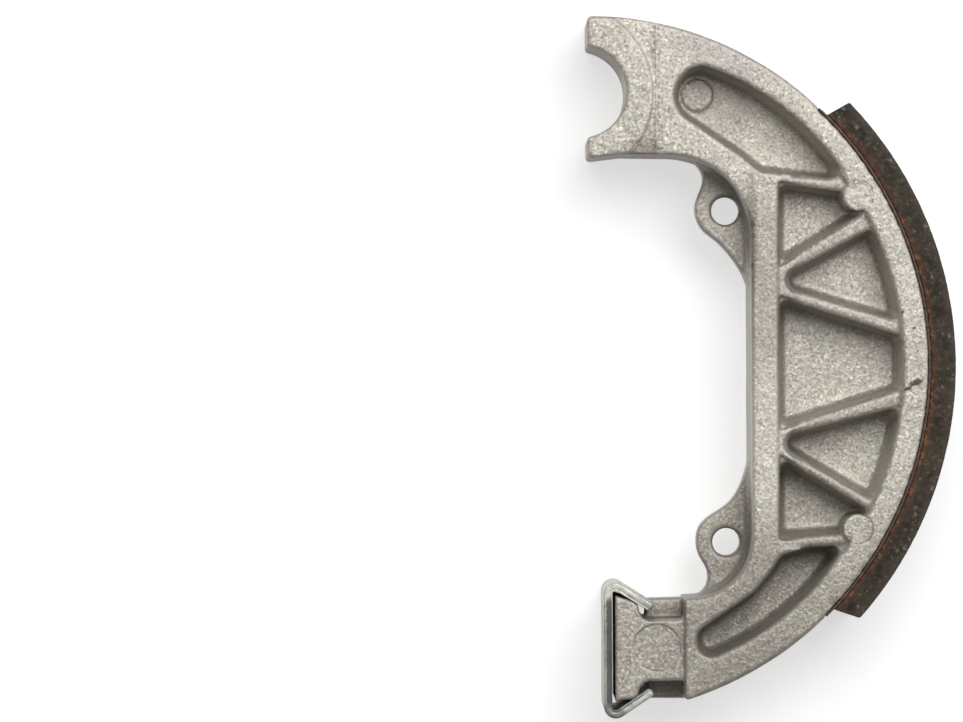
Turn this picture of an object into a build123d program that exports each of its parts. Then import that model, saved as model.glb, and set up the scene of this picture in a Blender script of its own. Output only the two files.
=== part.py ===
from build123d import *
import math
import os

# Brake shoe for a 110 mm x 25 mm drum brake.
#
# One aluminium casting (table, web, truss ribs, anchor fork, two spring lugs
# and the dovetail at the cam end), a friction lining bonded to its table, the
# bond film between them, and a bent steel clip that snaps over the dovetail
# where the cam pushes.
#
# Drawing frame: drum axis at (0, 0), +X towards the middle of the lining,
# +Y towards the anchor fork, +Z across the width, Z = 0 at mid-width.
# Everything is moved at the end so that the axis of the anchor pin, at
# mid-width, is the origin.

os.makedirs("parts", exist_ok=True)

# ---------------------------------------------------------------- dimensions
WIDTH = 25.0                # across the shoe, lining and casting
HALF = WIDTH / 2
DRUM_R = 55.0               # friction face, for a 110 mm drum
SEAT_R = 51.0               # outside of the shoe table under the lining
FILM_T = 0.4                # bond film
ARM_R = 51.27               # as-cast outside of the two arms
RIM_IN_R = 47.3             # inside edge of the shoe table at the side face
SEAT_A0, SEAT_A1 = -45.4, 46.7          # ends of the lining seat, degrees

ANCHOR = (0.65, 39.7)       # axis of the anchor pin
ANCHOR_R = 6.65             # half-round notch of the fork
FORK_X = 1.65               # end face of the two prongs

BEAM_X = 25.35              # inner edge of the beam
FORK_CORNER = (BEAM_X, 30.3)          # where it would meet the two arms
CAM_CORNER = (BEAM_X, -33.42)
FORK_BEND, CAM_BEND = 12.0, 9.0         # and the radii it meets them with

LUG_HALF = 3.0              # spring lugs, half thickness
LUG_ROOT = 0.8              # sloping root of the lugs against the beam
SPRING_R = 2.0              # spring holes
SPRING_UP = (21.9, 22.55)
SPRING_LO = (21.9, -25.8)

WEB_HALF = 2.75             # web at the bottom of the pockets
POCKET_TAPER = 3.5          # draft of the pocket walls, degrees
FLOOR_R = 0.9               # fillet round the pocket floors
RIB_DROP = 0.7              # rib tops lie this far below the side face

EDGE_R = 0.4                # softened cast edges, outside
POCKET_EDGE = 0.35          # and round the pockets

LAND_C = (-2.1, 39.4)       # flat land round the anchor notch
LAND_R = 13.35
LAND_STEP = 0.35            # drop from the land to the face around it

END_X = 15.5                # shoulder where the arm ends and the tongue starts
TONGUE_HALF = 12.15         # half width of the dovetail tongue
FLANGE_HALF = 3.0           # thin flange each side of the tongue
CLIP_T = 1.2                # steel clip, sheet thickness
CLIP_HALF = 12.2


def polar(r, a):
    return (r * math.cos(math.radians(a)), r * math.sin(math.radians(a)))


def near(shape, x, y):
    return shape.vertices().sort_by_distance((x, y, 0))[0]


def polygon(points):
    return make_face(Polyline(*points, close=True))


# ------------------------------------------------------------- main outline
outline = make_face([
    ThreePointArc(polar(51.3, SEAT_A1), polar(51.24, 68), (FORK_X, 50.72)),
    Line((FORK_X, 50.72), (FORK_X, 29.97)),
    Line((FORK_X, 29.97), (6.6, 30.6)),
    Line((6.6, 30.6), FORK_CORNER),
    Line(FORK_CORNER, CAM_CORNER),
    Line(CAM_CORNER, (END_X, -33.8)),
    Line((END_X, -33.8), (END_X, -48.62)),
    ThreePointArc((END_X, -48.62), polar(51.15, -60), polar(ARM_R, SEAT_A0)),
    Line(polar(ARM_R, SEAT_A0), polar(SEAT_R, SEAT_A0)),
    ThreePointArc(polar(SEAT_R, SEAT_A0), (SEAT_R, 0), polar(SEAT_R, SEAT_A1)),
    Line(polar(SEAT_R, SEAT_A1), polar(51.3, SEAT_A1)),
])
outline -= Pos(*ANCHOR) * Circle(ANCHOR_R)
for (x, y, r) in [
    (*FORK_CORNER, FORK_BEND),
    (*CAM_CORNER, CAM_BEND),
    (FORK_X, 50.72, 0.7),
    (FORK_X, ANCHOR[1] + 6.57, 0.55),
    (FORK_X, ANCHOR[1] - 6.57, 0.55),
    (FORK_X, 29.97, 0.7),
    (END_X, -48.62, 0.5),
]:
    outline = fillet(near(outline, x, y), r)

block = extrude(outline, HALF, both=True)
rims = [e for e in block.edges() if abs(abs(e.center().Z) - HALF) < 0.001]
block = fillet(rims, EDGE_R)

# ------------------------------------------------------------------ pockets
inside = Circle(RIM_IN_R)
inside_arm = Circle(47.6)

# Each pocket: its outline at the side face, and the corners of the outline
# that are left sharp here and get the same radius as the floor.

# slot in the fork arm
p1 = make_face([
    ThreePointArc((18.6, 43.35), (29.9, 37.3), (38.9, 27.5)),
    Line((38.9, 27.5), (36.4, 26.95)),
    Line((36.4, 26.95), (26.8, 28.15)),
    Line((26.8, 28.15), (24.2, 30.3)),
    Line((24.2, 30.3), (16.3, 35.7)),
    ThreePointArc((16.3, 35.7), (14.45, 39.4), (18.6, 43.35)),
])
for (x, y, r) in [(26.8, 28.15, 1.6), (24.2, 30.3, 3.0), (16.3, 35.7, 2.2)]:
    p1 = fillet(near(p1, x, y), r)
s1 = [(38.9, 27.5)]

# truss pockets
p2 = polygon([(29.35, 26.25), (29.35, 14.52), (45.26, 24.18)]) & inside
s2 = [(29.35, 26.25), (29.35, 14.52), polar(RIM_IN_R, 31.4), polar(RIM_IN_R, 27.8)]
p3 = polygon([(28.2, 11.93), (50, 5.26), (50, 23.5)]) & inside
p3 = fillet(near(p3, 28.2, 11.93), 1.55)
s3 = [polar(RIM_IN_R, 25.0), polar(RIM_IN_R, 7.6)]
p4 = polygon([(29.45, 9.74), (29.45, -9.08), (50, -2.57), (50, 3.14)]) & inside
s4 = [(29.45, 9.74), (29.45, -9.08), polar(RIM_IN_R, 4.9), polar(RIM_IN_R, -4.4)]
p5 = polygon([(27.9, -10.85), (50, -23.75), (50, -5.3)]) & inside
p5 = fillet(near(p5, 27.9, -10.85), 1.55)
s5 = [polar(RIM_IN_R, -7.1), polar(RIM_IN_R, -25.5)]
p6 = polygon([(29.35, -13.3), (29.35, -25.0), (47.3, -24.1)]) & inside
s6 = [(29.35, -13.3), (29.35, -25.0), polar(RIM_IN_R, -26.6), polar(RIM_IN_R, -31.2)]

# slot in the cam arm
p7 = make_face([
    ThreePointArc((17.7, -42.95), (31.45, -34.95), (38.9, -26.1)),
    Line((38.9, -26.1), (33.4, -26.4)),
    Line((33.4, -26.4), (29.6, -27.6)),
    Line((29.6, -27.6), (27.9, -30.2)),
    Line((27.9, -30.2), (25.6, -33.0)),
    Line((25.6, -33.0), (17.2, -38.75)),
    Line((17.2, -38.75), (17.7, -42.95)),
])
for (x, y, r) in [(33.4, -26.4, 3.0), (29.6, -27.6, 1.8), (27.9, -30.2, 2.0), (25.6, -33.0, 3.0),
                  (17.2, -38.75, 2.0), (17.7, -42.95, 2.0)]:
    p7 = fillet(near(p7, x, y), r)
s7 = [(38.9, -26.1)]

POCKETS = [(p1, s1), (p2, s2), (p3, s3), (p4, s4), (p5, s5), (p6, s6), (p7, s7)]
depth = HALF - WEB_HALF


def pocket_cutter(face, corners):
    """Drafted pocket, its sharp corners and its floor edge all one radius."""
    solid = extrude(Pos(0, 0, HALF) * face, -depth, taper=POCKET_TAPER)
    floor = solid.faces().sort_by(Axis.Z)[0]
    edges = list(floor.edges())
    sides = [e for e in solid.edges() if abs(e.bounding_box().size.Z - depth) < 0.01]
    for (x, y) in corners:
        best = min(sides, key=lambda e: min((v.X - x) ** 2 + (v.Y - y) ** 2
                                            for v in e.vertices() if v.Z > HALF - 0.01))
        edges.append(best)
    return fillet(edges, FLOOR_R)


def flare(face, z, size):
    """Chamfer tool for the mouth of a hole of that outline, opening at z."""
    wide = offset(face, amount=size, kind=Kind.ARC)
    tool = extrude(Pos(0, 0, z) * wide, -size, taper=45)
    return tool + extrude(Pos(0, 0, z) * wide, 2 * RIB_DROP)


def cut_both(solid, tool):
    solid -= tool
    return solid - mirror(tool, about=Plane.XY)


body = block
for face, corners in POCKETS:
    body = cut_both(body, pocket_cutter(face, corners))

# ribs stand a little lower than the side faces, ramping up to the beam
truss = make_face([
    ThreePointArc(polar(RIM_IN_R, 36.2), (RIM_IN_R, 0), polar(RIM_IN_R, -35.2)),
    Line(polar(RIM_IN_R, -35.2), (29.4, -26.4)),
    Line((29.4, -26.4), (29.4, 27.5)),
    Line((29.4, 27.5), polar(RIM_IN_R, 36.2)),
])
drop = extrude(Pos(0, 0, HALF - RIB_DROP) * truss, 2 * RIB_DROP)
ramp = extrude(Plane.XZ * polygon([(29.0, HALF - 2), (29.0, HALF + 1), (29.4, HALF + 1),
                                   (29.4, HALF), (32.9, HALF - RIB_DROP), (32.9, HALF - 2)]),
               40, both=True)
drop -= ramp
body = cut_both(body, drop)

# softened mouths: at the side face for the two slots, at rib height inside
# the truss, and along the inside of the table
body = cut_both(body, flare(p1, HALF, POCKET_EDGE))
body = cut_both(body, flare(p7, HALF, POCKET_EDGE))
inner_zone = extrude(Pos(0, 0, HALF - 3) * truss, 6)
for face, corners in POCKETS:
    tool = flare(face, HALF - RIB_DROP, POCKET_EDGE) & inner_zone
    if tool is not None and tool.volume > 0:
        body = cut_both(body, tool)
brim = make_face([
    ThreePointArc(polar(RIM_IN_R, 30.9), (RIM_IN_R, 0), polar(RIM_IN_R, -30.5)),
    Line(polar(RIM_IN_R, -30.5), (29.4, -25.0)),
    Line((29.4, -25.0), (29.4, 26.2)),
    Line((29.4, 26.2), polar(RIM_IN_R, 30.9)),
])
body = cut_both(body, flare(brim, HALF, POCKET_EDGE - 0.05))

# ejector bosses that bulge from the table into the truss
BOSSES = [(40.8, 24.45, 2.2), (40.65, -23.75, 2.2)]
for (x, y, r) in BOSSES:
    pillar = Pos(x, y, 0) * Cylinder(r, 2 * HALF - 0.2)
    body += pillar
for (x, y, r) in BOSSES:
    body -= Pos(x, y, HALF) * Cylinder(r, 0.2)

# ------------------------------------------------- land round the anchor pin
lower = extrude(Plane.XZ * polygon([(-5, HALF - LAND_STEP), (11.2, HALF - LAND_STEP),
                                    (12.0, HALF), (12.0, HALF + 1), (-5, HALF + 1)]), 30, both=True)
lower = Pos(0, 42, 0) * lower
lower &= Pos(3, 41, HALF) * Box(20, 24, 4)
lower -= Pos(*LAND_C, HALF) * Cylinder(LAND_R, 10)
body -= lower
body -= mirror(lower, about=Plane.XY)

# -------------------------------------------------------------- spring lugs
upper_lug = make_face([
    Spline((14.6, 30.7), (16.85, 30.05), (18.1, 28.85), (18.66, 27.0), (17.93, 24.84),
           (17.46, 22.85), (17.88, 20.92), (18.85, 19.5), (20.25, 18.42), (22.18, 16.5),
           (24.0, 13.95), (25.3, 10.7)),
    Line((25.3, 10.7), (27.0, 10.7)),
    Line((27.0, 10.7), (27.0, 25)),
    Line((27.0, 25), (20.5, 31)),
    Line((20.5, 31), (14.6, 32.5)),
    Line((14.6, 32.5), (14.6, 30.7)),
])
lower_lug = make_face([
    Spline((25.3, -13.4), (24.28, -16.65), (22.4, -19.95), (20.4, -21.42), (18.87, -22.47),
           (17.85, -23.72), (17.48, -25.6), (17.9, -27.8), (18.82, -29.35), (19.2, -30.95),
           (18.72, -32.55), (17.2, -33.7), (15.5, -34.0)),
    Line((15.5, -34.0), (15.5, -35.5)),
    Line((15.5, -35.5), (19.5, -35)),
    Line((19.5, -35), (25.2, -30.5)),
    Line((25.2, -30.5), (27.0, -27)),
    Line((27.0, -27), (27.0, -13.4)),
    Line((27.0, -13.4), (25.3, -13.4)),
])


def bend_centre(end, corner, r):
    """Centre of the bend of radius r between the beam and the line from end to corner."""
    (ex, ey), (cx, cy) = end, corner
    slope = (cy - ey) / (cx - ex)
    side = 1 if cy < 0 else -1
    return cx - r, cy - slope * r + side * r * math.hypot(1, slope), r


# each lug is a plate with a sloping root, a cone along the curved arm and a
# wedge along the straight beam
UP, LO = bend_centre((6.6, 30.6), FORK_CORNER, FORK_BEND), bend_centre((END_X, -33.8), CAM_CORNER, CAM_BEND)
LUGS = [
    (upper_lug, UP, (UP[1], 40), (10.4, UP[1] + 0.1)),
    (lower_lug, LO, (-40, LO[1]), (LO[1] - 0.1, -13.0)),
]
z0, rise = LUG_HALF - 0.2, LUG_ROOT * 1.4
for face, (cx, cy, r), (ya, yb), (yc, yd) in LUGS:
    lug = extrude(face, LUG_HALF, both=True)
    slab = extrude(Pos(0, 0, z0) * face, rise + 0.2)
    curved = slab & Pos(25, (ya + yb) / 2, z0) * Box(30, yb - ya, 8)
    curved -= Pos(cx, cy, LUG_HALF + rise / 2) * Cone(r - LUG_ROOT, r, rise)
    curved -= Pos(cx, cy, z0) * Cylinder(r - LUG_ROOT, 0.4)
    straight = extrude(Plane.XZ * polygon([(BEAM_X - LUG_ROOT, z0), (26, z0), (26, LUG_HALF + rise),
                                           (BEAM_X, LUG_HALF + rise), (BEAM_X - LUG_ROOT, LUG_HALF)]),
                       60, both=True)
    straight &= Pos(25, (yc + yd) / 2, z0) * Box(30, yd - yc, 8)
    straight &= slab
    for tool in [lug, curved, straight, mirror(curved, about=Plane.XY), mirror(straight, about=Plane.XY)]:
        body += tool

# ------------------------------------------------ tongue, dovetail and flange
# The two legs of the clip bear on the slopes behind the dovetail.
SLOPE_UP, SLOPE_LO = math.radians(32.3), math.radians(34.0)
BEAR_UP = (8.78, -34.56)
BEAR_LO = (8.78, -47.85)


def leg_up(x, t=0.0):
    return BEAR_UP[1] - math.tan(SLOPE_UP) * (x - BEAR_UP[0]) + t / math.cos(SLOPE_UP)


def leg_lo(x, t=0.0):
    return BEAR_LO[1] + math.tan(SLOPE_LO) * (x - BEAR_LO[0]) - t / math.cos(SLOPE_LO)


TONGUE = [(END_X + 1, -36.75), (10.3, -36.85), (9.45, -36.5), (9.0, -35.6), (8.78, leg_up(8.78)),
          (7.95, leg_up(7.95)), (5.45, -33.25), (5.45, -48.6), (8.1, leg_lo(8.1)), (8.78, leg_lo(8.78)),
          (9.0, -46.9), (9.4, -46.1), (10.3, -45.72), (END_X + 1, -45.6)]
tongue = extrude(polygon(TONGUE), TONGUE_HALF, both=True)
tongue = chamfer([e for e in tongue.edges() if abs(abs(e.center().Z) - TONGUE_HALF) < 0.001], 0.25)
body += tongue
FLANGE = [(END_X + 0.5, -33.85), (10.4, -33.95), (9.9, -34.4), (9.9, -48.05), (10.4, -48.6), (END_X + 0.5, -48.62)]
flange = extrude(polygon(FLANGE), FLANGE_HALF, both=True)
flange = chamfer([e for e in flange.edges() if abs(abs(e.center().Z) - FLANGE_HALF) < 0.001], 0.3)
body += flange
body -= Pos(11.5, -40.9, TONGUE_HALF) * Cylinder(3.35, 0.16)

# ------------------------------------------------------------- spring holes
for (x, y) in (SPRING_UP, SPRING_LO):
    body -= Pos(x, y, 0) * Cylinder(SPRING_R, 4 * LUG_HALF)
    sink = Pos(x, y, LUG_HALF - 0.15) * Cone(SPRING_R, SPRING_R + 0.3, 0.3)
    body = cut_both(body, sink)

# raised ejector disc on the floor of the fork slot
disc = Cylinder(2.3, 1.2)
disc = fillet(disc.edges().group_by(Axis.Z)[-1], 0.2)
body += Pos(17.87, 39.43, WEB_HALF + 0.1) * disc

# ------------------------------------------------------------------- lining
LIN_R = SEAT_R + FILM_T
top_in, top_out = (36.45, 36.25), (39.62, 38.0)
bot_in, bot_out = (37.22, -35.45), (40.95, -36.72)


def beyond(a, b, k):
    return (a[0] + (b[0] - a[0]) * k, a[1] + (b[1] - a[1]) * k)


wedge = polygon([beyond(top_in, top_out, -2), beyond(top_in, top_out, 6), (75, 0),
                 beyond(bot_in, bot_out, 6), beyond(bot_in, bot_out, -2)])
lining_face = (Circle(DRUM_R) - Circle(LIN_R)) & wedge
lining = extrude(lining_face, HALF, both=True)

# bond film, showing past both ends of the lining
film_wedge = polygon([(0, 0), polar(90, SEAT_A0 + 0.1), (110, 0), polar(90, SEAT_A1 - 0.1)])
film_face = (Circle(LIN_R) - Circle(SEAT_R)) & film_wedge
film = extrude(film_face, HALF - 0.1, both=True)

# --------------------------------------------------------------- steel clip
PLATE_IN = 5.0                  # inside face of the plate
TIP = 10.5
BEND_R = 1.75

x0 = PLATE_IN - CLIP_T
up_x = TIP + CLIP_T * math.sin(SLOPE_UP)
lo_x = TIP + CLIP_T * math.sin(SLOPE_LO)
clip_face = polygon([
    (TIP, leg_up(TIP)), (up_x, leg_up(up_x, CLIP_T)),
    (x0, leg_up(x0, CLIP_T)), (x0, leg_lo(x0, CLIP_T)),
    (lo_x, leg_lo(lo_x, CLIP_T)), (TIP, leg_lo(TIP)),
    (PLATE_IN, leg_lo(PLATE_IN)), (PLATE_IN, leg_up(PLATE_IN)),
])
for (x, y, r) in [
    (x0, leg_up(x0, CLIP_T), BEND_R), (x0, leg_lo(x0, CLIP_T), BEND_R),
    (PLATE_IN, leg_up(PLATE_IN), BEND_R - CLIP_T), (PLATE_IN, leg_lo(PLATE_IN), BEND_R - CLIP_T),
    (TIP, leg_up(TIP), 0.4), (TIP, leg_lo(TIP), 0.4),
    (up_x, leg_up(up_x, CLIP_T), 0.5), (lo_x, leg_lo(lo_x, CLIP_T), 0.5),
]:
    clip_face = fillet(near(clip_face, x, y), r)
clip = extrude(clip_face, CLIP_HALF, both=True)
# each leg is notched where it straddles the flange
clip -= Pos(11.3, (BEAR_UP[1] + BEAR_LO[1]) / 2, 0) * Box(4.0, 30, 2 * FLANGE_HALF + 0.8)

# ---------------------------------------------------------------- write out
# the anchor pin's axis at mid-width becomes the origin
TO_ANCHOR = Pos(-ANCHOR[0], -ANCHOR[1], 0)
for name, shape in [("shoe_body", body), ("lining", lining), ("bond_film", film), ("cam_clip", clip)]:
    placed = TO_ANCHOR * shape
    print(name, "solids", len(placed.solids()), "volume", round(placed.volume, 1))
    export_step(placed, "parts/%s.step" % name)
print("body valid", body.is_valid)
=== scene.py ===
import math

import bmesh
import bpy
import numpy as np
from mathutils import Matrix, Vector


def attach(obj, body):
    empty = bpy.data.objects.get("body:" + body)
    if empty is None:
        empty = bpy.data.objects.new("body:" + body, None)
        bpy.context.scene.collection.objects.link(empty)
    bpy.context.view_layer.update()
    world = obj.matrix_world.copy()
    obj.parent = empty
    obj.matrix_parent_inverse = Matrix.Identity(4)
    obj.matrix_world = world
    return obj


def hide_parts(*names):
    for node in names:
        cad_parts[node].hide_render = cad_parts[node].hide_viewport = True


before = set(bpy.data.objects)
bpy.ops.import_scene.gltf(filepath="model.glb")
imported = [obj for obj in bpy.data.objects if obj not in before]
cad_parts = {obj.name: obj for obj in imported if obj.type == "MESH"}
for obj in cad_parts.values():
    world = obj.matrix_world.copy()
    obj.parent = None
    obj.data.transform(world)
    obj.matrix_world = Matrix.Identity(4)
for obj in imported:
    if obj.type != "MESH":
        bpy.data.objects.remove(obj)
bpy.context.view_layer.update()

# Drum brake shoe: an aluminium casting, its friction lining, the bond film
# between the two, and a bent steel clip over the cam end.
# Points are given in millimetres from the drum's axis, (x, y, z), and moved
# to the row frame, whose origin is the anchor pin's axis at mid-width.
MM = 0.001
AX, AY = 0.65, 39.7
HALF = 12.5
SEAT_R, LIN_R, DRUM_R = 51.0, 51.4, 55.0


def row(x, y, z=0.0):
    return ((x - AX) * MM, (y - AY) * MM, z * MM)


# ---------------------------------------------------------------- camera first
scene = bpy.context.scene
cam_data = bpy.data.cameras.new("camera")
cam_data.sensor_width = 36.0
cam_data.lens = 36.0 * 1100.0 / 139.4
cam_data.clip_start, cam_data.clip_end = 0.01, 20.0
camera = bpy.data.objects.new("camera", cam_data)
scene.collection.objects.link(camera)
camera.location = row(-13.75, 0.76, 1112.5)
camera.rotation_euler = (0.0, 0.0, -0.0037)
scene.camera = camera


# ------------------------------------------------------------------- node kit
class Kit:
    """A material's node tree, with short calls for the nodes used here."""

    def __init__(self, name):
        self.mat = bpy.data.materials.new(name + "_finish")
        self.mat.use_nodes = True
        self.t = self.mat.node_tree
        self.t.nodes.clear()
        self.out = self.t.nodes.new("ShaderNodeOutputMaterial")
        self.bsdf = self.t.nodes.new("ShaderNodeBsdfPrincipled")
        self.t.links.new(self.bsdf.outputs[0], self.out.inputs["Surface"])
        self.co = self.t.nodes.new("ShaderNodeTexCoord").outputs["Object"]

    def put(self, socket, value):
        if isinstance(value, bpy.types.NodeSocket):
            self.t.links.new(value, socket)
        else:
            socket.default_value = value

    def m(self, op, a, b=None, c=None, clamp=False):
        n = self.t.nodes.new("ShaderNodeMath")
        n.operation, n.use_clamp = op, clamp
        for i, v in enumerate((a, b, c)):
            if v is not None:
                self.put(n.inputs[i], v)
        return n.outputs[0]

    def noise(self, scale, detail=2.0, rough=0.5, distort=0.0, vec=None, kind=None):
        n = self.t.nodes.new("ShaderNodeTexNoise")
        if kind:
            n.noise_type = kind
        self.put(n.inputs["Vector"], self.co if vec is None else vec)
        for k, v in (("Scale", scale), ("Detail", detail), ("Roughness", rough), ("Distortion", distort)):
            self.put(n.inputs[k], v)
        return n.outputs["Fac"]

    def cells(self, scale, feature="F1", vec=None, rand=1.0, out="Distance", smooth=None):
        n = self.t.nodes.new("ShaderNodeTexVoronoi")
        n.feature = feature
        self.put(n.inputs["Vector"], self.co if vec is None else vec)
        self.put(n.inputs["Scale"], scale)
        self.put(n.inputs["Randomness"], rand)
        if smooth is not None:
            self.put(n.inputs["Smoothness"], smooth)
        return n.outputs[out]

    def span(self, v, a, b, c=0.0, d=1.0, kind="SMOOTHSTEP"):
        n = self.t.nodes.new("ShaderNodeMapRange")
        n.interpolation_type = kind
        n.clamp = True
        for k, x in zip(("Value", "From Min", "From Max", "To Min", "To Max"), (v, a, b, c, d)):
            self.put(n.inputs[k], x)
        return n.outputs["Result"]

    def mix(self, fac, a, b, kind="MIX"):
        n = self.t.nodes.new("ShaderNodeMix")
        n.data_type, n.blend_type = "RGBA", kind
        n.clamp_factor = True
        self.put(n.inputs[0], fac)
        self.put(n.inputs[6], a)
        self.put(n.inputs[7], b)
        return n.outputs[2]

    def xyz(self, vec=None):
        n = self.t.nodes.new("ShaderNodeSeparateXYZ")
        self.put(n.inputs[0], self.co if vec is None else vec)
        return n.outputs

    def vec(self, op, a, b=None, out=0):
        n = self.t.nodes.new("ShaderNodeVectorMath")
        n.operation = op
        self.put(n.inputs[0], a)
        if b is not None:
            self.put(n.inputs[1], b)
        return n.outputs[out]

    def scaled(self, a, s):
        n = self.t.nodes.new("ShaderNodeVectorMath")
        n.operation = "SCALE"
        self.put(n.inputs[0], a)
        self.put(n.inputs["Scale"], s)
        return n.outputs[0]

    def stretch(self, scale, turn=0.0, at=(0, 0, 0)):
        n = self.t.nodes.new("ShaderNodeMapping")
        n.vector_type = "TEXTURE"
        self.put(n.inputs["Vector"], self.co)
        self.put(n.inputs["Location"], at)
        self.put(n.inputs["Rotation"], (0, 0, turn))
        self.put(n.inputs["Scale"], scale)
        return n.outputs[0]

    def spot(self, x, y, z, rx, ry, rz, turn=0.0, ragged=0.35, scale=1800.0, soft=0.45):
        """1 in a ragged ellipsoid about a point given from the drum's axis, 0 outside."""
        v = self.stretch((rx * MM, ry * MM, rz * MM), math.radians(turn), row(x, y, z))
        d = self.vec("LENGTH", v, out=1)
        n = self.noise(scale, 3.0, 0.6)
        d = self.m("ADD", d, self.m("MULTIPLY", self.m("SUBTRACT", n, 0.5), 2 * ragged))
        return self.span(d, 1.0 + soft / 2, 1.0 - soft / 2)

    def bump(self, height, distance, strength=1.0, normal=None):
        n = self.t.nodes.new("ShaderNodeBump")
        n.inputs["Distance"].default_value = distance
        n.inputs["Strength"].default_value = strength
        self.put(n.inputs["Height"], height)
        if normal is not None:
            self.put(n.inputs["Normal"], normal)
        return n.outputs[0]

    def radius(self):
        """Distance from the drum's axis, in millimetres."""
        x, y, _ = self.xyz()
        x = self.m("ADD", x, AX * MM)
        y = self.m("ADD", y, AY * MM)
        return self.m("MULTIPLY", self.m("SQRT", self.m("ADD", self.m("MULTIPLY", x, x), self.m("MULTIPLY", y, y))), 1000.0)


def rgb(r, g, b):
    """A colour given as 0-255 display values, as linear light."""
    def lin(v):
        v /= 255.0
        return v / 12.92 if v <= 0.04045 else ((v + 0.055) / 1.055) ** 2.4
    return (lin(r), lin(g), lin(b), 1.0)


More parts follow.
